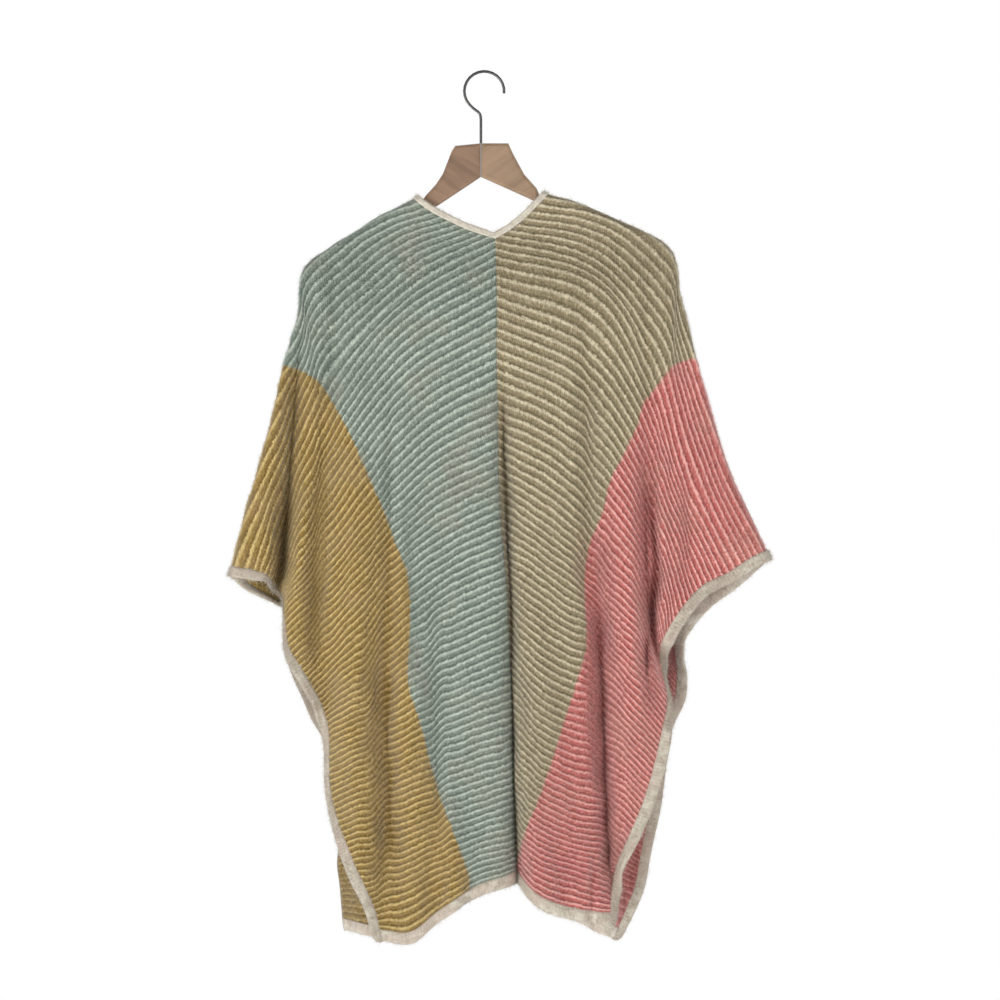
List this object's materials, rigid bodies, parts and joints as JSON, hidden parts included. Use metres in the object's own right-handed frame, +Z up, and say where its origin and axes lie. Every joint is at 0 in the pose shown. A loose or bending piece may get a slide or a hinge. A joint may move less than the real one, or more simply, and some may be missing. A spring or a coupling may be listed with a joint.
{
  "type": "knitted poncho sweater on a wooden hanger",
  "caption": "Loose ribbed knit poncho sweater with wide short sleeves, open sides and plain knitted bands, hung on a flat wooden hanger with a wire hook.",
  "frame": {"origin": "inside top of the hanger's hook, where it hangs on its pin", "axes": "+Z up, the garment's back faces -Y, +X is the wearer's right"},
  "size_m": [0.6563, 0.1229, 1.0532],
  "materials": {
    "knit_sage_mustard": "brushed rib knit, sage above and mustard below",
    "knit_khaki_coral": "brushed rib knit, khaki above and coral below",
    "knit_band": "plain fuzzy knit, cream",
    "beech": "satin",
    "steel": "dark satin"
  },
  "bodies": {
    "root": {"back_left": "knit_sage_mustard", "back_right": "knit_khaki_coral", "front_left": "knit_sage_mustard", "front_right": "knit_khaki_coral", "neck_band": "knit_band", "side_band_left": "knit_band", "side_band_right": "knit_band", "hem_band_back": "knit_band", "hem_band_front": "knit_band", "hanger_arm_left": "beech", "hanger_arm_right": "beech", "hanger_hook": "steel"}
  },
  "joints": []
}
